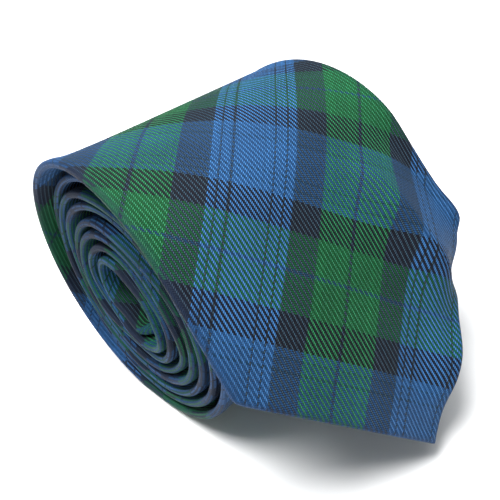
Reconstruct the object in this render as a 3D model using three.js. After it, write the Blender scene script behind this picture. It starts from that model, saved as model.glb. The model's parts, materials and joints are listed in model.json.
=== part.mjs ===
// A tartan necktie, rolled up from its narrow tail and set down with the blade end hanging in front.
// Millimetres, +Z up. The roll's axis runs along X, and the blade's tip points to -Y.
//
// The tie is one long strip, so every piece is drawn in the strip's own terms: how far along the tie it
// lies (0 at the blade's tip), how far across it, and how deep under the show side. frameAt() bends that
// strip into the flap and the spiral of the roll.
import * as THREE from 'three';

// The strip, laid flat
const BLADE_WIDTH = 88;
const NECK_WIDTH = 38;
const TAIL_WIDTH = 46;
const BLADE_TAPER_END = 720; // from the blade's tip to where the taper reaches the neck
const TAIL_TAPER_END = 380; // the same from the tail's tip
const BLUNT_TIP = 1; // a tip starts this far in, so that it has some width

// Cloth and layers, counted inwards from the show side
const CLOTH = 0.4;
const LAYER_GAP = 0.25;
const INTERLINING_THICKNESS = 0.8;
const TIPPING_THICKNESS = 0.3;
const PIECE_GAP = 0.3; // between pieces that touch in the real tie

// The folded back
const BLADE_HEM = 14; // hem behind the blade's point, measured across the tie
const TAIL_HEM = 8;
const BLADE_TACK_AT = 104; // from the blade's tip to the bar tack where the back seam starts
const TAIL_TACK_AT = 62; // the same from the tail's tip
const SEAM_OPENING = 1.6; // between the two folded edges, for the slip stitch
const THREAD_WIDTH = 0.7;
const TACK_WIDTH = 5;
const TACK_LENGTH = 1.6;
const TACK_THICKNESS = 0.4;
const INTERLINING_INSET = 5; // from a tip to the end of the interlining
const TIPPING_INSET = 2; // from the hem at a point to the edge of the lining

// What is sewn to the back of the blade
const LABEL_AT = 108;
const LABEL_LENGTH = 20;
const LABEL_WIDTH = 44;
const LABEL_THICKNESS = 0.25;
const LOOP_AT = 131;
const LOOP_LENGTH = 9;
const LOOP_WIDTH = 50;
const LOOP_THICKNESS = 0.35;
const CARE_LABEL_AT = 143;
const CARE_LABEL_LENGTH = 12;
const CARE_LABEL_WIDTH = 20;
const CARE_LABEL_THICKNESS = 0.2;
const STITCH_WIDTH = 0.8;
const STITCH_THICKNESS = 0.2;
const STITCH_INSET = 1.5; // from a label's side edge to its row of stitches

// Where the shell's three panels are joined
const BLADE_PANEL = 480; // from the blade's tip
const TAIL_PANEL = 400; // from the tail's tip

// The roll, whose turns lie tight underneath and loose on top
const CORE_RADIUS = 11; // outside of the innermost turn
const TURNS = 8;
const TIGHT_GAP = 0.85;
const LOOSE_GAP = 2.75;
const STEPS_PER_TURN = 20;
const LEAVE_NEAR = 45; // degrees up from the front, about where the blade leaves the roll
const NEAR_RECESS = 10; // the near folded edges lie at most this far behind the blade's edge

// The blade's free end, which hangs from the roll to the table
const TIP_SLOPE = 66; // degrees below level at the tip
const TIP_CLEARANCE = 5; // from the tip to the table
const STEPS_TO_SHOULDER = 4;
const STEPS_TO_ROLL = 3;
const SLOPE_SAMPLES = 200;

const radians = THREE.MathUtils.degToRad;
const lerp = THREE.MathUtils.lerp;

const THICKNESS = 2 * CLOTH + 2 * LAYER_GAP + INTERLINING_THICKNESS;
const INTERLINING_TOP = CLOTH + LAYER_GAP;
const BACK_FACE = THICKNESS - CLOTH; // inner face of the folded back
const PITCH = THICKNESS + (TIGHT_GAP + LOOSE_GAP) / 2;
const ROLL_RADIUS = CORE_RADIUS + TURNS * PITCH;
const CORE_SAG = (TURNS * (LOOSE_GAP - TIGHT_GAP)) / 2; // the core hangs this far below the roll's centre
const STEP_ANGLE = 360 / STEPS_PER_TURN;
// A half step puts one facet level underneath.
const FIRST_STEP = Math.round(LEAVE_NEAR / STEP_ANGLE - 0.5) + 0.5;
const LEAVE_ANGLE = FIRST_STEP * STEP_ANGLE; // up from the front, where the blade leaves the roll
const LEAVE_SLOPE = 90 - LEAVE_ANGLE;

// The path of the show side, as a list of { s, y, z } from the blade's tip to the tail's tip.
function rollPoint(stepCount) {
  const share = stepCount / (TURNS * STEPS_PER_TURN);
  const angle = radians(LEAVE_ANGLE + stepCount * STEP_ANGLE);
  const radius = lerp(ROLL_RADIUS, CORE_RADIUS, share);
  return { y: -radius * Math.cos(angle), z: radius * Math.sin(angle) - CORE_SAG * share };
}

// The facet underneath is laid level on the table.
function rollPoints() {
  const points = [];
  for (let step = 0; step <= TURNS * STEPS_PER_TURN; step += 1) points.push(rollPoint(step));
  const table = points.map((point) => point.z).sort((a, b) => a - b)[1];
  return points.map((point) => ({ y: point.y, z: Math.max(point.z - table, 0) }));
}

// The flap's slope eases from the tip to the roll, so its height fixes its length.
function flapLengthFor(height) {
  let sineSum = 0;
  for (let i = 0; i < SLOPE_SAMPLES; i += 1) {
    sineSum += Math.sin(radians(lerp(LEAVE_SLOPE, TIP_SLOPE, (i + 0.5) / SLOPE_SAMPLES)));
  }
  return height / (sineSum / SLOPE_SAMPLES);
}

function flapPoints(start) {
  const backCorner = THICKNESS * Math.cos(radians(TIP_SLOPE));
  const length = flapLengthFor(start.z - backCorner - TIP_CLEARANCE);
  const shoulder = length - BLADE_WIDTH / 2;
  const distances = [];
  for (let i = 1; i <= STEPS_TO_ROLL; i += 1) distances.push((shoulder * i) / STEPS_TO_ROLL);
  for (let i = 1; i < STEPS_TO_SHOULDER; i += 1) {
    distances.push(shoulder + ((BLADE_WIDTH / 2) * i) / STEPS_TO_SHOULDER);
  }
  distances.push(length - BLUNT_TIP);

  const points = [];
  let { y, z } = start;
  let previous = 0;
  for (const distance of distances) {
    const slope = radians(lerp(LEAVE_SLOPE, TIP_SLOPE, (distance + previous) / 2 / length));
    y -= Math.cos(slope) * (distance - previous);
    z -= Math.sin(slope) * (distance - previous);
    points.push({ y, z });
    previous = distance;
  }
  return points.reverse();
}

function buildPath() {
  const roll = rollPoints();
  const flap = flapPoints(roll[0]);
  const path = [...flap, ...roll];
  let s = BLUNT_TIP;
  path.forEach((point, i) => {
    if (i > 0) s += Math.hypot(point.y - path[i - 1].y, point.z - path[i - 1].z);
    point.s = s;
  });
  return { path, hinge: path[flap.length] };
}

const { path: PATH, hinge: HINGE } = buildPath();
const TIE_LENGTH = PATH[PATH.length - 1].s + BLUNT_TIP;

// Unit normal of the facet between two path points, pointing out of the show side
function facetNormal(i) {
  const from = PATH[i];
  const to = PATH[i + 1];
  const length = to.s - from.s;
  return { y: -(to.z - from.z) / length, z: (to.y - from.y) / length };
}

// Mitred normals at the path points keep each layer's thickness through the bends.
const NORMALS = PATH.map((point, i) => {
  const before = facetNormal(Math.max(i - 1, 0));
  const after = facetNormal(Math.min(i, PATH.length - 2));
  const scale = 1 / (1 + before.y * after.y + before.z * after.z);
  return { y: (before.y + after.y) * scale, z: (before.z + after.z) * scale };
});

function frameAt(s) {
  let i = 0;
  while (i < PATH.length - 2 && PATH[i + 1].s < s) i += 1;
  const t = (s - PATH[i].s) / (PATH[i + 1].s - PATH[i].s);
  return {
    y: lerp(PATH[i].y, PATH[i + 1].y, t),
    z: lerp(PATH[i].z, PATH[i + 1].z, t),
    ny: lerp(NORMALS[i].y, NORMALS[i + 1].y, t),
    nz: lerp(NORMALS[i].z, NORMALS[i + 1].z, t),
  };
}

// Half the tie's width at a distance from the blade's tip
function halfWidth(s) {
  const fromTail = TIE_LENGTH - s;
  const taper = (fromTip, width, end) => THREE.MathUtils.mapLinear(
    fromTip, width / 2, end, width / 2, NECK_WIDTH / 2);
  const bladeTaper = Math.min(taper(s, BLADE_WIDTH, BLADE_TAPER_END), BLADE_WIDTH / 2);
  const tailTaper = Math.min(taper(fromTail, TAIL_WIDTH, TAIL_TAPER_END), TAIL_WIDTH / 2);
  return Math.min(s, fromTail, Math.max(bladeTaper, tailTaper, NECK_WIDTH / 2));
}

// The near edges stay flush from the second turn on, so the taper shows on the far side.
// Both points are cut evenly about the middle line at their shoulders.
function centreX(s) {
  const between = THREE.MathUtils.clamp(s, BLADE_WIDTH / 2, TIE_LENGTH - TAIL_WIDTH / 2);
  const half = halfWidth(between);
  return half - BLADE_WIDTH / 2 + Math.min(BLADE_WIDTH / 2 - half, NEAR_RECESS);
}

// Half the gap between the folded edges of the back
function halfOpening(s) {
  const seam = SEAM_OPENING / 2;
  const fromTail = TIE_LENGTH - s;
  const opening = (fromTip, width, hem, tackAt) => {
    const atShoulder = width / 2 - hem;
    if (fromTip < width / 2) return Math.max(fromTip - hem, CLOTH);
    const shut = THREE.MathUtils.mapLinear(fromTip, width / 2, tackAt, atShoulder, seam);
    return Math.max(shut, seam);
  };
  return s < TIE_LENGTH / 2
    ? opening(s, BLADE_WIDTH, BLADE_HEM, BLADE_TACK_AT)
    : opening(fromTail, TAIL_WIDTH, TAIL_HEM, TAIL_TACK_AT);
}

// A closed solid swept along the tie. section(s) gives the outline as [across, depth] pairs, always
// with the same number of points, and going round the same way.
function sweep(from, to, section) {
  const inner = PATH.map((point) => point.s).filter((s) => s > from + CLOTH && s < to - CLOTH);
  const stations = [from, ...inner, to];
  const count = section(from).length;
  const positions = [];
  for (const s of stations) {
    const frame = frameAt(s);
    for (const [across, depth] of section(s)) {
      positions.push(centreX(s) + across, frame.y - frame.ny * depth, frame.z - frame.nz * depth);
    }
  }

  const indices = [];
  for (let ring = 0; ring < stations.length - 1; ring += 1) {
    for (let i = 0; i < count; i += 1) {
      const a = ring * count + i;
      const b = ring * count + ((i + 1) % count);
      indices.push(a, a + count, b, b, a + count, b + count);
    }
  }
  const endFaces = (s) => THREE.ShapeUtils.triangulateShape(
    section(s).map(([across, depth]) => new THREE.Vector2(across, -depth)), []);
  for (const [a, b, c] of endFaces(from)) indices.push(a, b, c);
  const last = (stations.length - 1) * count;
  for (const [a, b, c] of endFaces(to)) indices.push(last + a, last + c, last + b);

  const geometry = new THREE.BufferGeometry();
  geometry.setAttribute('position', new THREE.Float32BufferAttribute(positions, 3));
  geometry.setIndex(indices);
  return geometry;
}

// Outline of a flat strip, as wide as halfAcross(s) says, between two depths
function strip(halfAcross, top, bottom, middle = 0) {
  return (s) => {
    const half = halfAcross(s);
    return [[middle - half, bottom], [middle + half, bottom], [middle + half, top], [middle - half, top]];
  };
}

// Outline of the shell: the show side, folded round both edges to the opening in the back
function shellSection(s) {
  const edge = halfWidth(s);
  const inside = edge - CLOTH;
  const opening = Math.min(halfOpening(s), inside - CLOTH);
  const right = [
    [opening, BACK_FACE], [opening, THICKNESS], [edge, THICKNESS], [edge, 0],
  ];
  const left = [
    [-edge, 0], [-edge, THICKNESS], [-opening, THICKNESS], [-opening, BACK_FACE],
  ];
  const hollow = [[-inside, BACK_FACE], [-inside, CLOTH], [inside, CLOTH], [inside, BACK_FACE]];
  return [...right, ...left, ...hollow];
}

const interliningSection = strip((s) => halfWidth(s) - CLOTH - LAYER_GAP,
  INTERLINING_TOP, INTERLINING_TOP + INTERLINING_THICKNESS);
const tippingSection = strip((s) => halfOpening(s) - PIECE_GAP, THICKNESS - TIPPING_THICKNESS, THICKNESS);

// A flat piece sewn on top of the folded back
function onBack(width, thickness, lift = PIECE_GAP, middle = 0) {
  return strip(() => width / 2, THICKNESS + lift, THICKNESS + lift + thickness, middle);
}

const group = new THREE.Group();

function addPiece(name, geometry, material) {
  const mesh = new THREE.Mesh(geometry, material);
  mesh.name = name;
  group.add(mesh);
}

const material = (color, roughness) => new THREE.MeshStandardMaterial({ color, roughness, metalness: 0 });
const bladeCloth = material(0x2f5f9e, 0.6);
const neckCloth = material(0x1f8a45, 0.6);
const tailCloth = material(0x27508c, 0.6);
const liningCloth = material(0x1d2a44, 0.5);
const wool = material(0xd9d3c4, 0.95);
const thread = material(0x16203a, 0.7);
const labelSatin = material(0x10161f, 0.45);

const HALF_GAP = PIECE_GAP / 2;
const HINGE_AT = HINGE.s;
const TAIL_PANEL_AT = TIE_LENGTH - TAIL_PANEL;
const TAIL_TACK_FROM_BLADE = TIE_LENGTH - TAIL_TACK_AT;
const BLADE_TIPPING_FROM = BLADE_HEM + TIPPING_INSET;
const TAIL_TIPPING_TO = TIE_LENGTH - TAIL_HEM - TIPPING_INSET;

// The shell: the blade's free end, then three panels round the roll
addPiece('blade_end_shell', sweep(BLUNT_TIP, HINGE_AT - HALF_GAP, shellSection), bladeCloth);
addPiece('blade_shell', sweep(HINGE_AT + HALF_GAP, BLADE_PANEL - HALF_GAP, shellSection), bladeCloth);
addPiece('neck_shell', sweep(BLADE_PANEL + HALF_GAP, TAIL_PANEL_AT - HALF_GAP, shellSection), neckCloth);
addPiece('tail_shell', sweep(TAIL_PANEL_AT + HALF_GAP, TIE_LENGTH - BLUNT_TIP, shellSection), tailCloth);

// Inside it
addPiece('blade_end_interlining',
  sweep(INTERLINING_INSET, HINGE_AT - HALF_GAP, interliningSection), wool);
addPiece('interlining',
  sweep(HINGE_AT + HALF_GAP, TIE_LENGTH - INTERLINING_INSET, interliningSection), wool);

// The lining that fills the open back behind each point
addPiece('blade_end_tipping',
  sweep(BLADE_TIPPING_FROM, HINGE_AT - HALF_GAP, tippingSection), liningCloth);
addPiece('blade_tipping',
  sweep(HINGE_AT + HALF_GAP, BLADE_TACK_AT - TACK_LENGTH, tippingSection), liningCloth);
addPiece('tail_tipping',
  sweep(TAIL_TACK_FROM_BLADE + TACK_LENGTH, TAIL_TIPPING_TO, tippingSection), liningCloth);

// The back seam: one long slip stitch between two bar tacks
addPiece('slip_stitch', sweep(BLADE_TACK_AT, TAIL_TACK_FROM_BLADE,
  strip(() => THREAD_WIDTH / 2, BACK_FACE, THICKNESS)), thread);
const tacks = [['blade_bar_tack', BLADE_TACK_AT], ['tail_bar_tack', TAIL_TACK_FROM_BLADE]];
for (const [name, at] of tacks) {
  addPiece(name,
    sweep(at - TACK_LENGTH / 2, at + TACK_LENGTH / 2, onBack(TACK_WIDTH, TACK_THICKNESS)), thread);
}

// Labels and the loop that keeps the tail behind the blade
addPiece('brand_label',
  sweep(LABEL_AT, LABEL_AT + LABEL_LENGTH, onBack(LABEL_WIDTH, LABEL_THICKNESS)), labelSatin);
addPiece('keeper_loop',
  sweep(LOOP_AT, LOOP_AT + LOOP_LENGTH, onBack(LOOP_WIDTH, LOOP_THICKNESS)), bladeCloth);
addPiece('care_label', sweep(CARE_LABEL_AT, CARE_LABEL_AT + CARE_LABEL_LENGTH,
  onBack(CARE_LABEL_WIDTH, CARE_LABEL_THICKNESS)), labelSatin);
const stitchLift = 2 * PIECE_GAP + LABEL_THICKNESS;
for (const [side, sign] of [['left', -1], ['right', 1]]) {
  const middle = sign * (LABEL_WIDTH / 2 - STITCH_INSET);
  addPiece(`label_stitch_${side}`,
    sweep(LABEL_AT + STITCH_INSET, LABEL_AT + LABEL_LENGTH - STITCH_INSET,
      onBack(STITCH_WIDTH, STITCH_THICKNESS, stitchLift, middle)), thread);
}

// Centre the tie over the frame's origin, standing on it.
const box = new THREE.Box3().setFromObject(group);
group.position.set(-(box.min.x + box.max.x) / 2, -(box.min.y + box.max.y) / 2, -box.min.z);

export default group;
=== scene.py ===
import json
import math

import bpy
import numpy as np
from mathutils import Matrix, Vector


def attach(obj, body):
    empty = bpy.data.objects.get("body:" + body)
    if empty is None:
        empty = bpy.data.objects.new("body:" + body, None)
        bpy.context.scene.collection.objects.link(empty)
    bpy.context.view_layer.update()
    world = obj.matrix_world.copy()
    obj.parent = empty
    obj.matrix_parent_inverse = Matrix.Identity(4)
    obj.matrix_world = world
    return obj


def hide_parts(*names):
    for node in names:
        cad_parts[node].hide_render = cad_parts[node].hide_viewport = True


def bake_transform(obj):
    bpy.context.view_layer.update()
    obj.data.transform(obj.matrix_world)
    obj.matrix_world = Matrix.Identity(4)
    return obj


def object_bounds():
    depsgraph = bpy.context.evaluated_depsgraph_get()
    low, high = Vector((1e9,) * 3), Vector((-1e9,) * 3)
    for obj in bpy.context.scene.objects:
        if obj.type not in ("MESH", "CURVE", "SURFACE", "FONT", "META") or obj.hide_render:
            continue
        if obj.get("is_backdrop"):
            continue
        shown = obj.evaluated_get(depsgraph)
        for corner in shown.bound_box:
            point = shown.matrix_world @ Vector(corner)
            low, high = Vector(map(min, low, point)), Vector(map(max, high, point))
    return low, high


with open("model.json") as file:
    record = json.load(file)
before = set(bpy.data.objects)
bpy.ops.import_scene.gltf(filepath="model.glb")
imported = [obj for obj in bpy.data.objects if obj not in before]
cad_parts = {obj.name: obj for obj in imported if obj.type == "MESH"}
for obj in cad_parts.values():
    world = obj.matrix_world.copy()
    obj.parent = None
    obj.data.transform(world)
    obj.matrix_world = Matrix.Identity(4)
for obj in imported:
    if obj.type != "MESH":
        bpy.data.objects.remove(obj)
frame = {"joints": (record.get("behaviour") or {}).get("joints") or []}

# A tartan necktie rolled up from its tail, with the blade end hanging in front. Shapes are worked out in
# millimetres and in the strip's own terms, as in the CAD: s along the tie from the blade's tip, across it,
# and depth under the show side. place() bends the strip into the flap and the roll.

cad_low, cad_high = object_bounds()
MM = 0.001

# ---------------------------------------------------------------- sizes

# As in the CAD
BLADE_WIDTH = 88.0
NECK_WIDTH = 38.0
TAIL_WIDTH = 46.0
BLADE_TAPER_END = 720.0
TAIL_TAPER_END = 380.0
THICKNESS = 2.1
INTERLINING_TOP = 0.65
INTERLINING_THICKNESS = 0.8
BLADE_HEM = 14.0
TAIL_HEM = 8.0
BLADE_TACK_AT = 104.0
TAIL_TACK_AT = 62.0
BLADE_PANEL = 480.0
TAIL_PANEL = 400.0
TURNS = 8
ROLL_RADIUS = 42.2
CORE_SAG = 7.6
LEAVE_ANGLE = math.radians(45)
TIP_SLOPE = math.radians(66)
TIP_CLEARANCE = 5.0

# A little different from the CAD
CLOTH = 0.42
TIPPING_THICKNESS = 0.2
SEAM_OPENING = 0.8  # the folded edges nearly meet
NEAR_RECESS = 7.5  # the near folded edges lie at most this far behind the blade's edge
CORE_RADIUS = 9.2
MEAN_GAP = 2.0

HINGE = np.array(frame["joints"][0]["pos_m"]) / MM
AXIS_Y = HINGE[1] + ROLL_RADIUS * math.cos(LEAVE_ANGLE)
AXIS_Z = HINGE[2] - ROLL_RADIUS * math.sin(LEAVE_ANGLE)

# ---------------------------------------------------------------- the path of the show side


def blend_step(x, low, high):
    """0 below low, 1 above high, smooth between."""
    t = np.clip((x - low) / (high - low), 0, 1)
    return t * t * (3 - 2 * t)


def wander(count, seed):
    """A smooth seeded curve of about -1 to 1, made of count waves."""
    made = np.random.default_rng(seed)
    rates = made.uniform(0.35, 1.0, count) * np.arange(1, count + 1)
    phases = made.uniform(0, 2 * math.pi, count)
    weights = 1 / np.sqrt(np.arange(1, count + 1))
    weights /= weights.sum()
    return lambda x: sum(w * np.sin(r * x + p) for w, r, p in zip(weights, rates, phases)) * 1.5


uneven_gap = wander(6, 11)
uneven_edge = wander(5, 23)
uneven_side = wander(5, 31)
CORE_OVAL = 0.23  # how much longer or shorter the innermost turn's half axes are, as a share
CORE_TILT = math.radians(147)  # the oval's long axis, measured like the roll's angle
CORE_BACK = 4.5  # how far the turns have settled towards the back by the core
CORE_LIFT = 3.8  # how much less they have sunk by the core than in the CAD
CORE_DROP = CORE_SAG - CORE_LIFT
UNEVEN_GAP = 0.24  # how far a turn strays, as a share of its gap
UNEVEN_EDGE = 0.22  # the same for a turn's near edge
UNEVEN_FROM = (5.0, 8.0)  # the turned angle over which the straying starts
UNDERSIDE = 0.32  # the outer turn's path is raised to at least this height above the table


def gap_at(angle):
    """The space between two turns, which is wide at the front and on top, and tight at the back."""
    return MEAN_GAP + (CORE_DROP * np.sin(angle) + CORE_BACK * np.cos(angle)) / TURNS


def roll_at(turned):
    """The roll's show side at an angle turned from the hinge: y and z."""
    full = TURNS * 2 * math.pi
    share = turned / full
    angle = LEAVE_ANGLE + turned
    radius = ROLL_RADIUS + (CORE_RADIUS - ROLL_RADIUS) * share
    radius = radius * (1 + CORE_OVAL * share**2 * np.cos(2 * (angle - CORE_TILT)))
    gap = gap_at(angle)
    radius = radius + UNEVEN_GAP * gap * uneven_gap(turned) * blend_step(turned, *UNEVEN_FROM)
    y = AXIS_Y - radius * np.cos(angle) + CORE_BACK * share
    z = AXIS_Z + radius * np.sin(angle) - CORE_DROP * share
    outside = np.mod(angle - LEAVE_ANGLE, 2 * math.pi)
    outer_radius = ROLL_RADIUS + (CORE_RADIUS - ROLL_RADIUS) * outside / full
    outer_z = AXIS_Z + outer_radius * np.sin(angle) - CORE_DROP * outside / full
    lift = np.maximum(UNDERSIDE - outer_z, 0)
    return y, z + lift * (1 - share)


FLAP_STEPS = 600
ROLL_STEPS = 16000
PATH_STEP = 0.1
SMOOTH_STEPS = 20  # on each side, for the path's slope


def flap_path():
    """The hanging end's points from the tip to just before the hinge, at an even spacing."""
    corner = THICKNESS * math.cos(TIP_SLOPE)
    leave = math.pi / 2 - LEAVE_ANGLE
    shares = (np.arange(FLAP_STEPS) + 0.5) / FLAP_STEPS
    slopes = leave + (TIP_SLOPE - leave) * shares
    length = (HINGE[2] - corner - TIP_CLEARANCE) / np.sin(slopes).mean()
    step = length / FLAP_STEPS
    y = HINGE[1] - np.cumsum(np.cos(slopes)) * step
    z = HINGE[2] - np.cumsum(np.sin(slopes)) * step
    return y[::-1], z[::-1], length


def build_path():
    """The show side's path at even steps: s, y, z, outward normal and turned angle, and the hinge's s."""
    flap_y, flap_z, length = flap_path()
    turned = np.linspace(0, TURNS * 2 * math.pi, ROLL_STEPS + 1)
    roll_y, roll_z = roll_at(turned)
    y = np.concatenate([flap_y, roll_y])
    z = np.concatenate([flap_z, roll_z])
    s = np.concatenate([[0], np.cumsum(np.hypot(np.diff(y), np.diff(z)))])
    even = np.arange(0, s[-1], PATH_STEP)
    y = np.interp(even, s, y)
    z = np.interp(even, s, z)
    angle = np.interp(even, s, np.concatenate([np.zeros(len(flap_y)), turned]))
    smooth = np.hanning(2 * SMOOTH_STEPS + 1)
    smooth /= smooth.sum()
    dy = np.convolve(np.pad(np.gradient(y), SMOOTH_STEPS, mode="edge"), smooth, "valid")
    dz = np.convolve(np.pad(np.gradient(z), SMOOTH_STEPS, mode="edge"), smooth, "valid")
    size = np.hypot(dy, dz)
    return even, y, z, -dz / size, dy / size, angle, length


PATH_S, PATH_Y, PATH_Z, PATH_NY, PATH_NZ, PATH_TURNED, HINGE_S = build_path()
TIE_LENGTH = PATH_S[-1]


TIP_ROUNDING = 1.2
LEAST_OPENING = 0.3
CENTRE_MARGIN = 6.0  # the middle line runs straight from this far inside each point's corners


def half_width(s):
    """Half the tie's width, with both points cut at 90 degrees and their corners a little rounded."""
    from_tail = TIE_LENGTH - s
    narrow = NECK_WIDTH / 2

    def taper(from_tip, width, end):
        line = width / 2 + (narrow - width / 2) * (from_tip - width / 2) / (end - width / 2)
        return np.minimum(line, width / 2)

    wide = np.maximum(taper(s, BLADE_WIDTH, BLADE_TAPER_END), taper(from_tail, TAIL_WIDTH, TAIL_TAPER_END))
    wide = np.maximum(wide, narrow)
    tip = np.minimum(s, from_tail)
    away = wide - tip
    return wide - 0.5 * (away + np.sqrt(away**2 + TIP_ROUNDING**2))


def centre_x(s):
    """Where the strip's middle line runs: the near edges stay almost flush from the second turn on."""
    from_tail = TIE_LENGTH - TAIL_WIDTH / 2 - CENTRE_MARGIN
    between = np.clip(s, BLADE_WIDTH / 2 + CENTRE_MARGIN, from_tail)
    half = half_width(between)
    return half - BLADE_WIDTH / 2 + np.minimum(BLADE_WIDTH / 2 - half, NEAR_RECESS)


def half_opening(s):
    """Half the gap between the folded edges of the back."""
    seam = SEAM_OPENING / 2
    from_tail = TIE_LENGTH - s

    def opening(from_tip, width, hem, tack):
        widest = width / 2 - hem
        shut = widest + (seam - widest) * (from_tip - width / 2) / (tack - width / 2)
        in_point = np.maximum(from_tip - hem, LEAST_OPENING)
        return np.where(from_tip < width / 2, in_point, np.maximum(shut, seam))

    blade = opening(s, BLADE_WIDTH, BLADE_HEM, BLADE_TACK_AT)
    tail = opening(from_tail, TAIL_WIDTH, TAIL_HEM, TAIL_TACK_AT)
    return np.where(s < TIE_LENGTH / 2, blade, tail)


# ---------------------------------------------------------------- how the cloth strays from the plain path


def hill(x, middle, width):
    """1 at the middle, and a smooth fall to about a third at width to either side."""
    return np.exp(-(((x - middle) / width) ** 2))


def beside(x, s, start, end):
    """Signed distance from the line start-end, given as (x, s) pairs, and the share of the way along it."""
    along = np.subtract(end, start)
    size = np.hypot(*along)
    along = along / size
    share = ((x - start[0]) * along[0] + (s - start[1]) * along[1]) / size
    return (x - start[0]) * along[1] - (s - start[1]) * along[0], share


# The hanging end's shape. Heights stand out from the show side. Places are pairs: across the tie, along it.
BULGE_HEIGHT = 4.2
BULGE_ALONG = (16.0, 8.0)  # middle and half length
BULGE_INWARDS = 9.0
BULGE_ACROSS = (0.0, 12.0)
NOTCH_DEPTH = 4.2
NOTCH_AT = (33.0, 32.5)
NOTCH_SIZE = (7.0, 6.5)
CREASE_HEIGHT = 5.2
CREASE_LINE = ((21.0, 70.0), (27.0, 33.0))
CREASE_IN = (-0.35, 0.35)  # the shares of the line over which a crease rises and falls
CREASE_OUT = (0.85, 1.3)
CREASE_LEFT = 7.0
CREASE_RIGHT = 15.0
CREASE_END = -0.30  # how high the cloth lies to the right of the crease, as a share of its height
FOLD_HEIGHT = 1.2
FOLD_LINE = ((24.0, 36.0), (4.0, 8.0))
FOLD_IN = (0.0, 0.4)
FOLD_OUT = (0.8, 1.2)
FOLD_LEFT = 7.0
FOLD_RIGHT = 9.0
CORNER_HEIGHT = 2.0
CORNER_AT = (46.0, 47.0)
CORNER_SIZE = (7.0, 6.0)
SWELLS = (  # height, middle and half size of the soft swells on the left
    (-0.9, (-24.0, 38.0), (9.0, 14.0)),
    (0.7, (-8.0, 24.0), (10.0, 16.0)),
)
RELIEF_END = (-8.0, 14.0)  # the relief fades out over this, counted from the hinge


def mound(x, s, at, size):
    """A hill in both directions."""
    return hill(x, at[0], size[0]) * hill(s, at[1], size[1])


def flap_relief(x, s):
    """The hanging end's creases and swells, outwards from the show side."""
    past_edge = np.where(x > 0, np.abs(x) - s, -100.0)
    bulge = BULGE_HEIGHT * hill(s, *BULGE_ALONG) * blend_step(x, *BULGE_ACROSS)
    bulge = bulge * np.exp(np.minimum(past_edge, 0) / BULGE_INWARDS)
    notch = -NOTCH_DEPTH * mound(x, s, NOTCH_AT, NOTCH_SIZE)
    corner = CORNER_HEIGHT * mound(x, s, CORNER_AT, CORNER_SIZE)

    off, share = beside(x, s, *CREASE_LINE)
    reach = blend_step(share, *CREASE_IN) * (1 - blend_step(share, *CREASE_OUT))
    fall = np.clip(-off / CREASE_RIGHT, 0, 1)
    profile = np.where(off < 0, (1 - fall) + CREASE_END * fall, hill(off, 0, CREASE_LEFT))
    crease = CREASE_HEIGHT * reach * profile

    off, share = beside(x, s, *FOLD_LINE)
    reach = blend_step(share, *FOLD_IN) * (1 - blend_step(share, *FOLD_OUT))
    profile = np.where(off < 0, np.exp(off / FOLD_RIGHT), hill(off, 0, FOLD_LEFT))
    fold = FOLD_HEIGHT * reach * profile

    swells = sum(height * mound(x, s, at, size) for height, at, size in SWELLS)
    settle = 1 - blend_step(s, HINGE_S + RELIEF_END[0], HINGE_S + RELIEF_END[1])
    return (bulge + notch + crease + fold + corner + swells) * settle


LIP_HEIGHT = 1.4  # the outermost turn's near edge curls out, most at this turned angle
LIP_INWARDS = 6.0
LIP_TURNED = (1.0, 0.9)
EDGE_INWARDS = 9.0
EDGE_RATE = 1.7  # how often the near edges stray, against the turned angle
EDGE_FROM = (1.0, 3.0)
SIDE_STEP = 0.9  # how far a turn slides along the roll's axis
SIDE_RATE = 0.9
SIDE_FROM = (4.5, 7.0)


def stray(s, x, near):
    """How far the show side stands off its path, outwards: creases, a lip, and the turns' loose edges."""
    turned = np.interp(s, PATH_S, PATH_TURNED)
    gap = gap_at(LEAVE_ANGLE + turned)
    edge = UNEVEN_EDGE * gap * uneven_edge(turned * EDGE_RATE) * np.exp(-(x - near) / EDGE_INWARDS)
    edge = edge * blend_step(turned, *EDGE_FROM)
    lip = LIP_HEIGHT * np.exp(-(x - near) / LIP_INWARDS) * hill(turned, *LIP_TURNED)
    return flap_relief(x, s) + edge + lip


def place(s, across, depth):
    """Row-frame points in millimetres for arrays of across and depth at each s."""
    y, z, ny, nz, turned = (np.interp(s, PATH_S, a)[:, None] for a in (
        PATH_Y, PATH_Z, PATH_NY, PATH_NZ, PATH_TURNED))
    shift = SIDE_STEP * uneven_side(turned * SIDE_RATE) * blend_step(turned, *SIDE_FROM)
    x = centre_x(s)[:, None] + shift + across
    near = (centre_x(s) - half_width(s))[:, None] + shift
    off = stray(s[:, None], x, near) - depth
    return np.stack([x + 0 * off, y + ny * off, z + nz * off], -1)


# ---------------------------------------------------------------- meshes


def add_mesh(name, points, faces, uvs=None, normals=None, near_fold=None):
    """A smooth mesh object. uvs holds one (u, v) per face corner, in millimetres of flat cloth."""
    mesh = bpy.data.meshes.new(name)
    mesh.from_pydata((np.asarray(points) * MM).tolist(), [], faces)
    mesh.shade_smooth()
    if uvs is not None:
        layer = mesh.uv_layers.new(name="Cloth")
        layer.uv.foreach_set("vector", (np.asarray(uvs) * MM).astype(np.float32).ravel())
    if near_fold is not None:
        layer = mesh.attributes.new("NearFold", "FLOAT", "POINT")
        layer.data.foreach_set("value", near_fold.astype(np.float32))
    if normals is not None:
        mesh.normals_split_custom_set_from_vertices(normals.tolist())
    mesh.validate()
    piece = bpy.data.objects.new(name, mesh)
    bpy.context.scene.collection.objects.link(piece)
    return piece


def ring_faces(rings, count):
    """Quads between closed rings of count points, and a cap on each end ring."""
    faces = []
    for ring in range(rings - 1):
        for i in range(count):
            a = ring * count + i
            b = ring * count + (i + 1) % count
            faces.append((a, b, b + count, a + count))
    faces.append(tuple(range(count))[::-1])
    faces.append(tuple(range((rings - 1) * count, rings * count)))
    return faces


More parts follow.
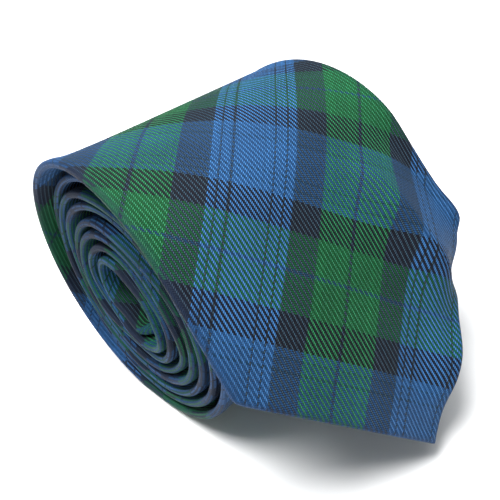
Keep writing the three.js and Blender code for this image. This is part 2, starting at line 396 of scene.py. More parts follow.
SHOW_BUNCHING = math.pi / 2 * 0.9  # the show side's points lie closer together towards its edges
SLANT_END = 2.0  # slanted edges turn into straight ones over this much on each side of a corner
SLANT_FOLD = 0.41  # how much wider a fold is, seen across the tie, along a point's 45 degree edges
LINING_TUCK = 0.9  # how far the lining runs in under the hems
FOLD_LENGTH = 1.2  # the flat cloth that a folded edge takes up
TIP_THINNING = 0.6  # the fold is this much thinner at the very tip, as a share, over TIP_THIN
TIP_THIN = 1.1
TIP_SWELL = 0.22  # and stouter a little behind it, where the hems lie over each other
TIP_SWELL_AT = (3.0, 2.4)
EDGE_SWELL = 0.10  # the show side stands up this much beside the folded edges
STRAIGHT_SWELL = 0.16  # and this much more beside straight ones
EDGE_SWELL_AT = (2.6, 1.8)
FOLD_BAND = 1.7  # how far from a folded edge the weave is smoothed and painted shade darkens the cloth
BACK_POINTS = 12
FOLD_POINTS = 12
SHOW_POINTS = 60


def shell_lines(s, inset):
    """The folded cloth's line at each s, inset under its outside: across, depth, and both flat positions.

    It runs from the opening in the back round one edge, over the show side, and round the other edge. The
    flat positions are those of a point's hem folded along a 45 degree edge, and of a straight folded side.
    """
    half = half_width(s)[:, None]
    tip = np.minimum(s, TIE_LENGTH - s)[:, None]
    point = np.where(s[:, None] > TIE_LENGTH / 2, TAIL_WIDTH / 2, BLADE_WIDTH / 2)
    slanted = 1 - blend_step(tip, point - SLANT_END, point + SLANT_END)
    fold = np.minimum((THICKNESS / 2) * (1 + SLANT_FOLD * slanted), 0.75 * half)
    stout = 1 - TIP_THINNING * np.exp(-tip / TIP_THIN) + TIP_SWELL * hill(tip, *TIP_SWELL_AT)
    opening = np.minimum(half_opening(s)[:, None], (half - fold) * 0.6)
    middle = half - fold
    share = np.linspace(0, 1, BACK_POINTS)[None, :-1]
    back = opening + (middle - opening) * share
    turn = np.linspace(0, math.pi, FOLD_POINTS)[None, :]
    radius_x = np.maximum(fold - inset, 0.1 * fold)
    radius_d = THICKNESS / 2 - inset
    spread = np.linspace(-1, 1, SHOW_POINTS + 2)[None, 1:-1]
    show = middle * np.sin(spread * SHOW_BUNCHING) / math.sin(SHOW_BUNCHING)
    zero = np.zeros_like(half)
    side_x = np.concatenate([back, middle + radius_x * np.sin(turn)], 1)
    side_d = np.concatenate([
        THICKNESS / 2 + radius_d + zero * share,
        THICKNESS / 2 + radius_d * np.cos(turn) + zero], 1)
    across = np.concatenate([-side_x, show, side_x[:, ::-1]], 1)
    depth = np.concatenate([side_d, inset + zero + 0 * show, side_d[:, ::-1]], 1)
    swell = STRAIGHT_SWELL * (1 - slanted) + EDGE_SWELL
    from_edge = half - np.abs(across)
    depth = depth - swell * hill(from_edge, *EDGE_SWELL_AT) * (depth < THICKNESS / 2)
    depth = THICKNESS / 2 + (depth - THICKNESS / 2) * stout

    sign = np.sign(across)
    size = np.abs(across)
    behind = blend_step(depth, 0.2, THICKNESS - 0.2)
    along = s[:, None] + 0 * across
    tail = (s > TIE_LENGTH / 2)[:, None]
    from_tip = np.where(tail, TIE_LENGTH - along, along)
    hem_u = sign * (size * (1 - behind) + from_tip * behind)
    hem_tip = from_tip * (1 - behind) + size * behind
    hem_v = np.where(tail, TIE_LENGTH - hem_tip, hem_tip)
    side_u = sign * (size * (1 - behind) + (2 * half + FOLD_LENGTH - size) * behind)
    return across, depth, (hem_u, hem_v), (side_u, along)


def grid_normals(points):
    """Outward normals of a grid of points, from its own slopes."""
    along = np.gradient(points, axis=0)
    around = np.gradient(points, axis=1)
    normals = np.cross(along, around)
    return normals / np.maximum(np.linalg.norm(normals, axis=-1, keepdims=True), 1e-9)


def make_shell(name, s, first, last):
    """The shell's cloth between two of the stations s, as a closed skin folded round both edges."""
    out_across, out_depth, hem, side = shell_lines(s, 0.0)
    in_across, in_depth, _, _ = shell_lines(s, CLOTH)
    outer = place(s, out_across, out_depth)
    inner = place(s, in_across, in_depth)
    outer_normals = grid_normals(outer)
    rows = last - first + 1
    count = outer.shape[1]
    points = np.concatenate([outer[first:last + 1].reshape(-1, 3), inner[first:last + 1].reshape(-1, 3)])
    normals = np.concatenate([
        outer_normals[first:last + 1].reshape(-1, 3), -outer_normals[first:last + 1].reshape(-1, 3)])

    faces = []
    for row in range(rows - 1):
        for i in range(count - 1):
            a = row * count + i
            faces.append((a, a + count, a + count + 1, a + 1))
    start = rows * count
    faces += [tuple(start + i for i in reversed(face)) for face in faces]
    for row in range(rows - 1):
        a = row * count
        b = a + count - 1
        faces.append((a, start + a, start + a + count, a + count))
        faces.append((b + count, start + b + count, start + b, b))
    end = (rows - 1) * count
    for i in range(count - 1):
        faces.append((i + 1, start + i + 1, start + i, i))
        faces.append((end + i, start + end + i, start + end + i + 1, end + i + 1))

    corners = np.array(faces)
    spot = corners % start
    row_of = spot // count
    column_of = spot % count
    middle_s = s[first + row_of].mean(1)
    slanted = (middle_s < BLADE_WIDTH / 2) | (middle_s > TIE_LENGTH - TAIL_WIDTH / 2)
    pick = slanted[:, None]
    u = np.where(pick, hem[0][first + row_of, column_of], side[0][first + row_of, column_of])
    v = np.where(pick, hem[1][first + row_of, column_of], side[1][first + row_of, column_of])
    area = 0.5 * (np.ptp(side[0], axis=1)[1:] + np.ptp(side[0], axis=1)[:-1]) * np.diff(s)
    near_fold = hill(half_width(s)[:, None] - np.abs(out_across), 0, FOLD_BAND)[first:last + 1].ravel()
    piece = add_mesh(name, points, faces, np.stack([u, v], -1), normals, np.tile(near_fold, 2))
    return piece, area[first:last].sum()


STRIP_POINTS = 24
STRIP_EDGE = 0.1


def make_strip(name, s, half, top, bottom):
    """A flat piece with bevelled sides, as wide as half(s) says, between two depths."""
    halves = half(s)[:, None]
    upper = np.linspace(-1, 1, STRIP_POINTS)[None, :] * (halves - STRIP_EDGE)
    thick = bottom - top
    across = np.concatenate([upper, halves, upper[:, ::-1], -halves], 1)
    depth = np.concatenate([
        top + 0 * upper, top + thick / 2 + 0 * halves, bottom + 0 * upper, top + thick / 2 + 0 * halves], 1)
    points = place(s, across, depth)
    count = across.shape[1]
    faces = ring_faces(len(s), count)
    flat = np.stack([across, s[:, None] + 0 * across], -1).reshape(-1, 2)
    uvs = flat[[i for face in faces for i in face]]
    return add_mesh(name, points.reshape(-1, 3), faces, uvs)


STRAND_SIDES = 7


def make_strands(name, lines, radius):
    """One mesh of thread-like capsules. Each line is an array of centre points, in millimetres."""
    points = []
    faces = []
    for line in lines:
        along = np.gradient(line, axis=0)
        along /= np.linalg.norm(along, axis=1, keepdims=True)
        side = np.cross(along, (1.0, 0.13, 0.07))
        side /= np.linalg.norm(side, axis=1, keepdims=True)
        up = np.cross(along, side)
        share = np.linspace(-1, 1, len(line))
        girth = radius * np.sqrt(np.maximum(1 - np.abs(share) ** 5, 0.06))
        start = len(points)
        for centre, a, b, r in zip(line, side, up, girth):
            for k in range(STRAND_SIDES):
                angle = 2 * math.pi * k / STRAND_SIDES
                points.append(centre + r * (math.cos(angle) * a + math.sin(angle) * b))
        faces += [tuple(start + i for i in face) for face in ring_faces(len(line), STRAND_SIDES)]
    return add_mesh(name, points, faces)


def stitch(s_from, s_to, across_from, across_to, depth, bow):
    """One stitch's centre line on the strip, bowed outwards by bow."""
    t = np.linspace(0, 1, 7)
    s = s_from + (s_to - s_from) * t
    across = (across_from + (across_to - across_from) * t)[:, None]
    return place(s, across, (depth + bow * np.sin(math.pi * t))[:, None])[:, 0]


# ---------------------------------------------------------------- materials


class Nodes:
    """A short way to write a material's nodes."""

    def __init__(self, name):
        self.material = bpy.data.materials.new(name)
        self.material.use_nodes = True
        self.tree = self.material.node_tree
        self.shader = self.tree.nodes["Principled BSDF"]

    def add(self, kind, **settings):
        node = self.tree.nodes.new(kind)
        for key, value in settings.items():
            setattr(node, key, value)
        return node

    def put(self, socket, value):
        if isinstance(value, bpy.types.NodeSocket):
            self.tree.links.new(value, socket)
        else:
            socket.default_value = value

    def math(self, operation, *values):
        node = self.add("ShaderNodeMath", operation=operation)
        for socket, value in zip(node.inputs, values):
            self.put(socket, value)
        return node.outputs[0]

    def mix(self, factor, a, b, mode="MIX"):
        node = self.add("ShaderNodeMix", data_type="RGBA", blend_type=mode)
        self.put(node.inputs[0], factor)
        self.put(node.inputs[6], a)
        self.put(node.inputs[7], b)
        return node.outputs[2]

    def noise(self, scale, detail, vector):
        node = self.add("ShaderNodeTexNoise")
        node.inputs["Scale"].default_value = scale
        node.inputs["Detail"].default_value = detail
        self.put(node.inputs["Vector"], vector)
        return node.outputs[0]

    def random(self, value, seed):
        node = self.add("ShaderNodeTexWhiteNoise", noise_dimensions="1D")
        self.put(node.inputs["W"], self.math("ADD", value, seed))
        return node.outputs["Value"]

    def spread(self, value, low, high, to_low=0.0, to_high=1.0):
        node = self.add("ShaderNodeMapRange")
        for socket, number in zip(node.inputs, (value, low, high, to_low, to_high)):
            self.put(socket, number)
        return node.outputs[0]

    def grey(self, value):
        node = self.add("ShaderNodeCombineColor")
        for socket in node.inputs:
            self.put(socket, value)
        return node.outputs[0]

    def bump(self, height, distance, strength=1.0):
        node = self.add("ShaderNodeBump")
        node.inputs["Strength"].default_value = strength
        node.inputs["Distance"].default_value = distance
        self.put(node.inputs["Height"], height)
        return node.outputs[0]

    def cloth_position(self):
        """Flat cloth position in millimetres: across and along."""
        uv = self.add("ShaderNodeUVMap", uv_map="Cloth")
        split = self.add("ShaderNodeSeparateXYZ")
        self.put(split.inputs[0], uv.outputs[0])
        return [self.math("MULTIPLY", split.outputs[i], 1 / MM) for i in (0, 1)]


def finish_of(nodes, roughness, specular=0.3, sheen=0.0, sheen_roughness=0.4, sheen_tint=(1, 1, 1, 1)):
    """Sets the shader's uniform values on its own sockets, and gives the material."""
    shader = nodes.shader
    nodes.put(shader.inputs["Roughness"], roughness)
    shader.inputs["Specular IOR Level"].default_value = specular
    shader.inputs["Sheen Weight"].default_value = sheen
    shader.inputs["Sheen Roughness"].default_value = sheen_roughness
    shader.inputs["Sheen Tint"].default_value = sheen_tint
    return nodes.material


# The sett: widths in millimetres across one repeat, which starts with a black band. Each line is placed by
# a share of its band's width. The colours are those of the raised yarn set and of the sunken one, whose
# colours are painted darker as the shade in the twill's grooves.
BLACK_BAND = 8.0
GREEN_BAND = 19.5
BLUE_BAND = 21.5
GREEN_LINES = (0.5,)
BLUE_LINES = (0.115, 0.258, 0.753, 0.89)
GREEN_LINE_WIDTH = 0.85
BLUE_LINE_WIDTH = 0.55
REPEAT = 2 * BLACK_BAND + GREEN_BAND + BLUE_BAND
FIRST_A = 18.9  # where the first black band starts in each yarn set, from the tip
FIRST_B = 14.4
RAISED = {
    "black": (0.007, 0.011, 0.026), "green": (0.004, 0.105, 0.022),
    "blue": (0.020, 0.095, 0.265), "line": (0.006, 0.010, 0.026)}
# painted shade: the sunken yarns' colours are the raised ones made darker, as the grooves' shade
SUNKEN_PAINTED_SHADE = {
    "black": (0.003, 0.005, 0.013), "green": (0.003, 0.082, 0.024),
    "blue": (0.012, 0.068, 0.190), "line": (0.006, 0.046, 0.110)}
PAINTED_CREST_HIGHLIGHT = (0.14, 0.42, 0.52, 1)  # painted highlight: the shine along the tops of the raised yarns, put into the colour
FUZZ = (0.20, 0.28, 0.36, 1)
FOLD_PAINTED_SHADE = (0.003, 0.014, 0.042, 1)  # painted shade: what the cloth darkens towards at its folds
YARN = 0.40
LOW_SET = 0.55  # how high the sunken yarns stand, as a share of the raised ones


def sett_bands():
    """Start of each band as a share of the repeat, with its yarn."""
    bands = [(0.0, "black")]
    at = BLACK_BAND
    for yarn, width, lines, line_width in (
            ("green", GREEN_BAND, GREEN_LINES, GREEN_LINE_WIDTH),
            ("blue", BLUE_BAND, BLUE_LINES, BLUE_LINE_WIDTH)):
        bands.append((at, yarn))
        for line in lines:
            bands.append((at + line * width - line_width / 2, "line"))
            bands.append((at + line * width + line_width / 2, yarn))
        at += width
        if yarn == "green":
            bands.append((at, "black"))
            at += BLACK_BAND
    return [(start / REPEAT, yarn) for start, yarn in bands]


def sett_ramp(nodes, position, start, colours):
    """The sett's colour at a position across one yarn set."""
    share = nodes.math("FRACT", nodes.math("DIVIDE", nodes.math("SUBTRACT", position, start), REPEAT))
    node = nodes.add("ShaderNodeValToRGB")
    nodes.put(node.inputs[0], share)
    ramp = node.color_ramp
    ramp.interpolation = "CONSTANT"
    bands = sett_bands()
    while len(ramp.elements) < len(bands):
        ramp.elements.new(0.5)
    for element, (at, yarn) in zip(ramp.elements, bands):
        element.position = at
        element.color = (*colours[yarn], 1)
    return node.outputs[0]


def tartan(name, shift):
    """Twill of two bias-cut yarn sets. The raised yarns show one sett, and the sunken ones the other."""
    nodes = Nodes(name)
    across, along = nodes.cloth_position()
    along = nodes.math("ADD", along, shift)
    root = math.sqrt(0.5)
    a = nodes.math("MULTIPLY", nodes.math("SUBTRACT", along, across), root)
    b = nodes.math("MULTIPLY", nodes.math("ADD", along, across), root)
    count_a = nodes.math("DIVIDE", a, YARN)
    count_b = nodes.math("DIVIDE", b, YARN)
    yarn_a = nodes.math("FLOOR", count_a)
    yarn_b = nodes.math("FLOOR", count_b)
    part_a = nodes.math("FRACT", count_a)
    part_b = nodes.math("FRACT", count_b)
    # Of every four crossings along a yarn, set a lies on top at the first two
    step = nodes.math("FLOORED_MODULO", nodes.math("SUBTRACT", yarn_b, yarn_a), 4.0)
    raised = nodes.math("LESS_THAN", step, 1.5)

    def arch(share):
        """A yarn's rounded height: 0 at both sides, 1 in the middle."""
        off = nodes.math("MULTIPLY_ADD", share, 2.0, -1.0)
        return nodes.math("SUBTRACT", 1.0, nodes.math("MULTIPLY", off, off))

    run_a = nodes.math("DIVIDE", nodes.math("ADD", step, part_b), 2.0)
    run_b = nodes.math("DIVIDE", nodes.math("SUBTRACT", nodes.math("SUBTRACT", step, 1.0), part_a), 2.0)
    height_a = nodes.math("MULTIPLY", arch(part_a), nodes.math("MULTIPLY_ADD", arch(run_a), 0.6, 0.4))
    height_b = nodes.math("MULTIPLY", arch(part_b), nodes.math("MULTIPLY_ADD", arch(run_b), 0.6, 0.4))
    height_b = nodes.math("MULTIPLY", height_b, LOW_SET)
    height = nodes.mix(raised, nodes.grey(height_b), nodes.grey(height_a))

    colour_a = sett_ramp(nodes, a, FIRST_A, RAISED)
    # the sunken set takes the darker colours, painted shade in the grooves
    colour_b = sett_ramp(nodes, b, FIRST_B, SUNKEN_PAINTED_SHADE)
    colour = nodes.mix(raised, colour_b, colour_a)
    shade_a = nodes.spread(nodes.random(yarn_a, 0.37), 0, 1, 0.82, 1.16)
    shade_b = nodes.spread(nodes.random(yarn_b, 5.71), 0, 1, 0.82, 1.16)
    shade = nodes.mix(raised, nodes.grey(shade_b), nodes.grey(shade_a))
    colour = nodes.mix(1.0, colour, shade, "MULTIPLY")
    # painted light and shade: the colour is darkened down the yarns' sides and into the grooves, and
    # brightened on their tops
    painted_yarn_shading = nodes.spread(height, 0.0, 1.0, 0.14, 1.62)
    # Near the folded edges the yarns' painted shading is evened out, and painted shade darkens the colour
    near_fold = nodes.add("ShaderNodeAttribute", attribute_name="NearFold").outputs["Fac"]
    painted_yarn_shading = nodes.mix(nodes.math("MULTIPLY", near_fold, 0.7), nodes.grey(painted_yarn_shading), nodes.grey(0.80))
    colour = nodes.mix(1.0, colour, painted_yarn_shading, "MULTIPLY")
    colour = nodes.mix(nodes.math("MULTIPLY", near_fold, 0.42), colour, FOLD_PAINTED_SHADE)
    # painted highlight along the raised yarns' tops, left off near the folds
    painted_crest_highlight = nodes.math("MULTIPLY", nodes.spread(height, 0.70, 1.0, 0.0, 0.26), raised)
    painted_crest_highlight = nodes.math("MULTIPLY", painted_crest_highlight, nodes.math("SUBTRACT", 1.0, near_fold))
    colour = nodes.mix(painted_crest_highlight, colour, PAINTED_CREST_HIGHLIGHT)
    where = nodes.add("ShaderNodeCombineXYZ")
    nodes.put(where.inputs[0], across)
    nodes.put(where.inputs[1], along)
    # broad darker and lighter patches: partly the cloth's uneven tone, partly painted soft shading and
    # highlights
    patches_and_painted_shading = nodes.spread(nodes.noise(0.045, 3.0, where.outputs[0]), 0.3, 0.7, 0.80, 1.20)
    colour = nodes.mix(1.0, colour, nodes.grey(patches_and_painted_shading), "MULTIPLY")
    fuzz = nodes.noise(1.6, 4.0, where.outputs[0])
    colour = nodes.mix(nodes.spread(fuzz, 0.55, 0.9, 0.0, 0.06), colour, FUZZ)
    nodes.put(nodes.shader.inputs["Base Color"], colour)
    both = nodes.math("MULTIPLY_ADD", fuzz, 0.12, height)
    nodes.put(nodes.shader.inputs["Normal"], nodes.bump(both, 0.00016, 0.9))
    rough = nodes.spread(height, 0.0, 1.0, 0.78, 0.46)
    return finish_of(nodes, rough, 0.17, 0.02, 0.35, (0.72, 0.84, 1.0, 1))


def wool_felt():
    nodes = Nodes("wool_interlining")
    place_at = nodes.add("ShaderNodeTexCoord").outputs["Object"]
    fine = nodes.noise(2600.0, 5.0, place_at)
    broad = nodes.noise(160.0, 3.0, place_at)
    colour = nodes.mix(fine, (0.42, 0.39, 0.33, 1), (0.74, 0.71, 0.64, 1))
    colour = nodes.mix(nodes.spread(broad, 0.4, 0.7, 0.0, 0.3), colour, (0.50, 0.46, 0.38, 1))
    nodes.put(nodes.shader.inputs["Base Color"], colour)
    nodes.put(nodes.shader.inputs["Normal"], nodes.bump(fine, 0.0002))
    return finish_of(nodes, 0.95, 0.1, 0.3)


def satin(name, dark, light, rib, gloss):
    """A fine ribbed satin, in two close shades."""
    nodes = Nodes(name)
    across, along = nodes.cloth_position()
    wave = nodes.math("SINE", nodes.math("MULTIPLY", along, 2 * math.pi / rib))
    weft = nodes.math("SINE", nodes.math("MULTIPLY", across, 2 * math.pi / (rib * 2.6)))
    line = nodes.math("MULTIPLY", nodes.math("ADD", wave, nodes.math("MULTIPLY", weft, 0.4)), 0.5)
    where = nodes.add("ShaderNodeCombineXYZ")
    nodes.put(where.inputs[0], across)
    nodes.put(where.inputs[1], along)
    streak = nodes.noise(0.8, 3.0, where.outputs[0])
    mixed = nodes.math("MULTIPLY_ADD", line, 0.22, streak)
    colour = nodes.mix(nodes.spread(mixed, 0.25, 0.75), (*dark, 1), (*light, 1))
    nodes.put(nodes.shader.inputs["Base Color"], colour)
    nodes.put(nodes.shader.inputs["Normal"], nodes.bump(line, 0.00004, 0.7))
    rough = nodes.spread(streak, 0.2, 0.8, gloss - 0.06, gloss + 0.08)
    return finish_of(nodes, rough, 0.22)


def twisted_thread():
    nodes = Nodes("sewing_thread")
    place_at = nodes.add("ShaderNodeTexCoord").outputs["Object"]
    wave = nodes.add("ShaderNodeTexWave", wave_type="BANDS", bands_direction="DIAGONAL")
    nodes.put(wave.inputs["Vector"], place_at)
    wave.inputs["Scale"].default_value = 900.0
    wave.inputs["Distortion"].default_value = 1.5
    colour = nodes.mix(wave.outputs["Fac"], (0.012, 0.018, 0.045, 1), (0.05, 0.075, 0.15, 1))
    nodes.put(nodes.shader.inputs["Base Color"], colour)
    nodes.put(nodes.shader.inputs["Normal"], nodes.bump(wave.outputs["Fac"], 0.00006))
    return finish_of(nodes, 0.6, 0.4, 0.2)


CLOTH_OF = {
    "blade": tartan("blade_tartan", 0.0),
    "neck": tartan("neck_tartan", 17.0),
    "tail": tartan("tail_tartan", 31.0),
    "loop": tartan("loop_tartan", 9.0),
}
WOOL = wool_felt()
LINING = satin("lining_satin", (0.010, 0.018, 0.045), (0.028, 0.046, 0.105), 0.30, 0.40)
LABEL = satin("label_satin", (0.010, 0.013, 0.020), (0.030, 0.036, 0.050), 0.42, 0.42)
THREAD = twisted_thread()

# ---------------------------------------------------------------- the pieces

BEND = 10.0  # the hanging end bends over this much on each side of the hinge
SPLIT = HINGE_S + BEND


def stations(*parts):
    """Stations along the tie: each part is (from, to, step)."""
    rows = [np.linspace(low, high, int(round((high - low) / step)) + 1)[:-1] for low, high, step in parts]
    return np.concatenate([*rows, [parts[-1][1]]])


def fit_out(piece, body, material, slot_name, *nodes):
    """Gives a piece its material and its body, and hides the CAD nodes that it stands for; slot_name is not
    used.
    """
    piece.data.materials.append(material)
    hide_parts(*nodes)
    if body:
        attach(piece, body)


def bend_at_hinge(piece):
    """Bakes the piece's placement into its mesh; it keeps the bend over the hinge that place() gave its
    shape.
    """
    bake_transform(piece)


TIP = 0.45  # the first and last stations lie this far inside the points
TAIL_START = TIE_LENGTH - TAIL_PANEL
FINE = 4.0  # the stations are closest together over this length at each point
shell_s = stations(
    (TIP, FINE, 0.3),
    (FINE, SPLIT, 0.85),
    (SPLIT, BLADE_PANEL, 1.6),
    (BLADE_PANEL, TAIL_START, 1.9),
    (TAIL_START, TIE_LENGTH - FINE, 1.6),
    (TIE_LENGTH - FINE, TIE_LENGTH - TIP, 0.4))


def index_of(s):
    """The number of the shell station nearest to s."""
    return int(np.abs(shell_s - s).argmin())


shells = (
    ("blade_end_cloth", 0, index_of(SPLIT), "blade_end_shell", "blade"),
    ("blade_cloth", index_of(SPLIT), index_of(BLADE_PANEL), "blade_shell", "blade"),
    ("neck_cloth", index_of(BLADE_PANEL), index_of(TAIL_START), "neck_shell", "neck"),
    ("tail_cloth", index_of(TAIL_START), len(shell_s) - 1, "tail_shell", "tail"),
)
for name, first, last, node, cloth in shells:
    piece, area = make_shell(name, shell_s, first, last)
    bends = name == "blade_end_cloth"
    fit_out(piece, None if bends else "roll", CLOTH_OF[cloth], "tartan_cloth", node)
    if bends:
        bend_at_hinge(piece)
    length = shell_s[last] - shell_s[first]
    width = max(2 * 2 * half_width(shell_s[first:last + 1]).max() + 4, area / length)


WOOL_ROOM = 0.35  # between the wool's sides and the folded cloth
WOOL_INSET = 5.0  # from a tip to the wool's end
LINING_INSET = 16.0  # from the blade's tip to the lining, under the hem
TAIL_LINING_INSET = 10.0
LINING_TO_TACK = 1.6  # the lining ends this far before the middle of a bar tack
LINING_LIFT = 0.02  # between the wool and the lining
LEAST_HALF = 0.4


def interlining_half(s):
    """Half the wool's width: it fills the folded cloth but for a little room at each side."""
    return np.maximum(half_width(s) - CLOTH - WOOL_ROOM, LEAST_HALF)


def tipping_half(s):
    """Half the lining's width: it runs in under the hems."""
    return np.maximum(half_opening(s) + LINING_TUCK, LEAST_HALF)


def add_flat_strip(name, low, high, step, half, top, bottom, material, slot_name, node, bends):
    """One sheet of even thickness, from low to high along the tie."""
    s = stations((low, high, step))
    piece = make_strip(name, s, half, top, bottom)
    fit_out(piece, None if bends else "roll", material, slot_name, node)
    if bends:
        bend_at_hinge(piece)
    widths = 2 * half(s)


INTERLINING_BACK = INTERLINING_TOP + INTERLINING_THICKNESS
TIPPING_TOP = INTERLINING_BACK + LINING_LIFT
for name, low, high, node, bends in (
        ("blade_end_wool", WOOL_INSET, SPLIT, "blade_end_interlining", True),
        ("wool", SPLIT, TIE_LENGTH - WOOL_INSET, "interlining", False)):
    add_flat_strip(name, low, high, 1.9, interlining_half, INTERLINING_TOP, INTERLINING_BACK,
                   WOOL, "wool_interlining", node, bends)
blade_lining_to = BLADE_TACK_AT - LINING_TO_TACK
tail_lining_from = TIE_LENGTH - TAIL_TACK_AT + LINING_TO_TACK
for name, low, high, node, bends in (
        ("blade_end_lining", LINING_INSET, SPLIT, "blade_end_tipping", True),
        ("blade_lining", SPLIT, blade_lining_to, "blade_tipping", False),
        ("tail_lining", tail_lining_from, TIE_LENGTH - TAIL_LINING_INSET, "tail_tipping", False)):
    add_flat_strip(name, low, high, 1.0, tipping_half, TIPPING_TOP, TIPPING_TOP + TIPPING_THICKNESS,
                   LINING, "lining_cloth", node, bends)

# The back seam and its two bar tacks
SEAM_INSET = 2.0  # from the middle of a bar tack to the seam's end
SLIP_PITCH = 7.0
SLIP_LENGTH = 2.4
SLIP_REACH = 0.62  # to each side of the seam
SLIP_SINK = 0.04  # how far a stitch's ends lie in the cloth
SLIP_BOW = 0.12
SLIP_RADIUS = 0.13
LAST_SLIP = 3.0  # the last stitch starts further than this from the seam's end
seam_from = BLADE_TACK_AT + SEAM_INSET
seam_to = TIE_LENGTH - TAIL_TACK_AT - SEAM_INSET
slips = [
    stitch(at, at + SLIP_LENGTH, -SLIP_REACH, SLIP_REACH, THICKNESS - SLIP_SINK, SLIP_BOW)
    for at in np.arange(seam_from, seam_to - LAST_SLIP, SLIP_PITCH)]
fit_out(make_strands("slip_stitches", slips, SLIP_RADIUS), "roll", THREAD, "sewing_thread", "slip_stitch")

WRAP_REACH = 0.75  # a tack's wraps run this far each way along the tie
WRAP_SLANT = 0.12
WRAP_PITCH = 0.3
WRAPS_FROM, WRAPS_TO = -2.3, 2.35
WRAP_LIFT, WRAP_BOW = 0.10, 0.14
BAR_OFFSETS = (-0.35, 0.0, 0.35)  # the threads that the wraps go round
BAR_REACH = 2.5
BAR_LIFT, BAR_BOW = 0.02, 0.05
TACK_RADIUS = 0.15

for name, at in (("blade_bar_tack", BLADE_TACK_AT), ("tail_bar_tack", TIE_LENGTH - TAIL_TACK_AT)):
    strands = [
        stitch(at - WRAP_REACH, at + WRAP_REACH, x, x + WRAP_SLANT, THICKNESS + WRAP_LIFT, WRAP_BOW)
        for x in np.arange(WRAPS_FROM, WRAPS_TO, WRAP_PITCH)]
    strands += [
        stitch(at + off, at + off, -BAR_REACH, BAR_REACH, THICKNESS + BAR_LIFT, BAR_BOW)
        for off in BAR_OFFSETS]
    fit_out(make_strands(name + "_thread", strands, TACK_RADIUS), "roll", THREAD, "sewing_thread", name)

# Labels without lettering, and the loop: from and to along the tie, half their length across it, and how
# far their two faces stand off the back
labels = (
    ("brand_label_satin", 108.0, 128.0, 22.0, 0.20, 0.45, "brand_label", LABEL, "label_satin"),
    ("keeper_loop_cloth", 130.8, 140.8, 25.0, 0.20, 0.62, "keeper_loop", CLOTH_OF["loop"], "tartan_cloth"),
    ("care_label_satin", 143.0, 155.0, 10.0, 0.20, 0.40, "care_label", LABEL, "label_satin"),
)
for name, low, high, half, bottom, top, node, material, slot_name in labels:
    add_flat_strip(name, low, high, 1.0, lambda s, half=half: np.full(len(s), half), THICKNESS + bottom,
                   THICKNESS + top, material, slot_name, node, False)

ROW_ACROSS = 20.5  # the label's two rows of stitches, to each side of its middle
ROW_FROM, ROW_TO = 109.6, 125.6
ROW_PITCH = 2.3
ROW_STITCH = 1.7
ROW_LIFT, ROW_BOW = 0.5, 0.12
ROW_RADIUS = 0.12
for side, across in (("left", -ROW_ACROSS), ("right", ROW_ACROSS)):
    rows = [
        stitch(at, at + ROW_STITCH, across, across, THICKNESS + ROW_LIFT, ROW_BOW)
        for at in np.arange(ROW_FROM, ROW_TO, ROW_PITCH)]
    fit_out(make_strands(f"label_stitches_{side}", rows, ROW_RADIUS), "roll", THREAD, "sewing_thread",
            f"label_stitch_{side}")

# ---------------------------------------------------------------- floor, light and camera


FLOOR_REACH = 1.6
FLOOR_DROP = 0.0002  # keeps it clear of the cloth that lies on it


def add_floor():
    mesh = bpy.data.meshes.new("floor")
    corners = [(x * FLOOR_REACH, y * FLOOR_REACH, 0) for x, y in ((-1, -1), (1, -1), (1, 1), (-1, 1))]
    mesh.from_pydata(corners, [], [(0, 1, 2, 3)])
    floor = bpy.data.objects.new("floor", mesh)
    floor.location.z = -FLOOR_DROP
    bpy.context.scene.collection.objects.link(floor)
    nodes = Nodes("pale_floor")
    place_at = nodes.add("ShaderNodeTexCoord").outputs["Object"]
    tone = nodes.noise(6.0, 2.0, place_at)
    colour = nodes.mix(tone, (0.84, 0.84, 0.84, 1), (0.88, 0.88, 0.88, 1))
    nodes.put(nodes.shader.inputs["Base Color"], colour)
    finish_of(nodes, 0.7, 0.2)
    mesh.materials.append(nodes.material)
    floor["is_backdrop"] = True


CENTRE = (cad_low + cad_high) / 2


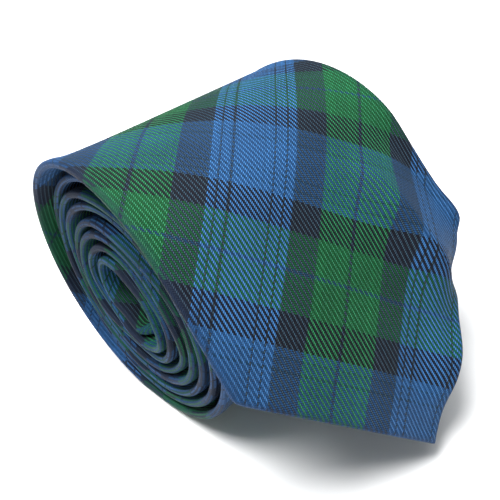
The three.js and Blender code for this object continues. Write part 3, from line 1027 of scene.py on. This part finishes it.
def add_area_light(name, offset, size, power):
    """A round soft light that looks at the middle of the object, offset from it in metres."""
    data = bpy.data.lights.new(name, "AREA")
    data.shape = "DISK"
    data.size = size
    data.energy = power
    light = bpy.data.objects.new(name, data)
    light.location = CENTRE + Vector(offset)
    light.rotation_mode = "QUATERNION"
    light.rotation_quaternion = (-Vector(offset)).to_track_quat("-Z", "Y")
    bpy.context.scene.collection.objects.link(light)


def add_lights():
    add_area_light("key", (-0.18, 0.08, 0.67), 0.42, 9.5)
    add_area_light("overhead", (0.0, 0.30, 1.30), 1.9, 17.0)
    add_area_light("fill", (-0.65, -0.45, 0.25), 0.7, 0.4)
    world = bpy.data.worlds.new("studio")
    world.use_nodes = True
    background = world.node_tree.nodes["Background"]
    background.inputs["Color"].default_value = (0.90, 0.95, 1.0, 1)
    background.inputs["Strength"].default_value = 0.30
    bpy.context.scene.world = world
    bpy.context.scene.view_settings.view_transform = "Standard"


CAMERA_AZIMUTH = math.radians(-38.8)
CAMERA_ELEVATION = math.radians(35.5)
CAMERA_TILT = math.radians(-8.2)
CAMERA_DISTANCE = 0.1753
CAMERA_SHIFT = Vector((-0.0025, 0.0039, 0.0020))  # the point that it looks at, from the object's middle
CAMERA_LENS = 44.3


def add_camera():
    data = bpy.data.cameras.new("camera")
    data.sensor_width = 36.0
    data.lens = CAMERA_LENS
    data.clip_start = 0.005
    camera = bpy.data.objects.new("camera", data)
    a, e = CAMERA_AZIMUTH, CAMERA_ELEVATION
    back = Vector((math.sin(a) * math.cos(e), -math.cos(a) * math.cos(e), math.sin(e)))
    right = Vector((math.cos(a), math.sin(a), 0))
    up = back.cross(right)
    turned_right = right * math.cos(CAMERA_TILT) + up * math.sin(CAMERA_TILT)
    turned_up = back.cross(turned_right)
    place_at = Matrix((turned_right, turned_up, back)).transposed().to_4x4()
    place_at.translation = CENTRE + CAMERA_SHIFT + back * CAMERA_DISTANCE
    camera.matrix_world = place_at
    bpy.context.scene.collection.objects.link(camera)
    bpy.context.scene.camera = camera


add_floor()
add_lights()
add_camera()

low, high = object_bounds()
